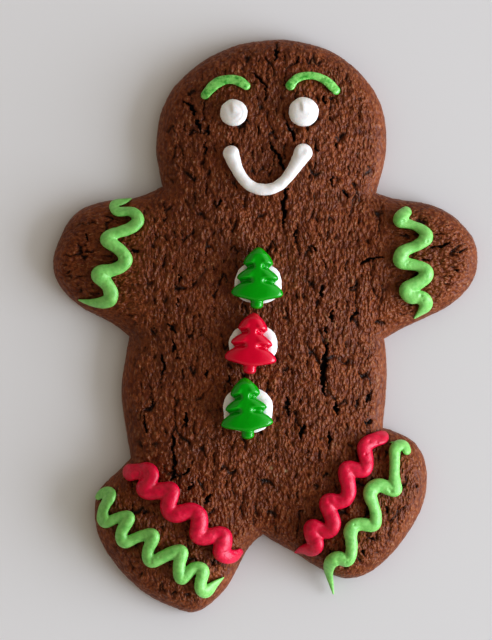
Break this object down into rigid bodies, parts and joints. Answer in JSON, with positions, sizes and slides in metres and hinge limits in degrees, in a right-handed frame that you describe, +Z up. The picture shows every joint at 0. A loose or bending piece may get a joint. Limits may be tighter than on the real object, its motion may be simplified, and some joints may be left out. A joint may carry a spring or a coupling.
{
  "type": "gingerbread man cookie",
  "caption": "Dark gingerbread man biscuit lying face up, with piped zigzag icing on arms and feet, an icing face and sugar trees down the front.",
  "frame": {"origin": "under the middle of the outline, on the surface that the flat underside rests on", "axes": "+Y from the feet to the head, +X to the right as seen from above with the head up, +Z up through the iced face"},
  "size_m": [0.1, 0.1348, 0.016],
  "materials": {
    "biscuit": "matt baked crumb with fine cracks",
    "green_icing": "satin piped icing",
    "red_icing": "satin piped icing",
    "white_icing": "satin piped icing",
    "green_candy": "glossy boiled sugar",
    "red_candy": "glossy boiled sugar"
  },
  "bodies": {
    "root": {"biscuit": "biscuit", "eye_left": "white_icing", "eye_right": "white_icing", "mouth": "white_icing", "brow_left": "green_icing", "brow_right": "green_icing", "icing_arm_left": "green_icing", "icing_arm_right": "green_icing", "icing_foot_left_red": "red_icing", "icing_foot_left_green": "green_icing", "icing_foot_right_red": "red_icing", "icing_foot_right_green": "green_icing", "dot_top": "white_icing", "dot_middle": "white_icing", "dot_bottom": "white_icing", "tree_top": "green_candy", "tree_middle": "red_candy", "tree_bottom": "green_candy"}
  },
  "joints": []
}
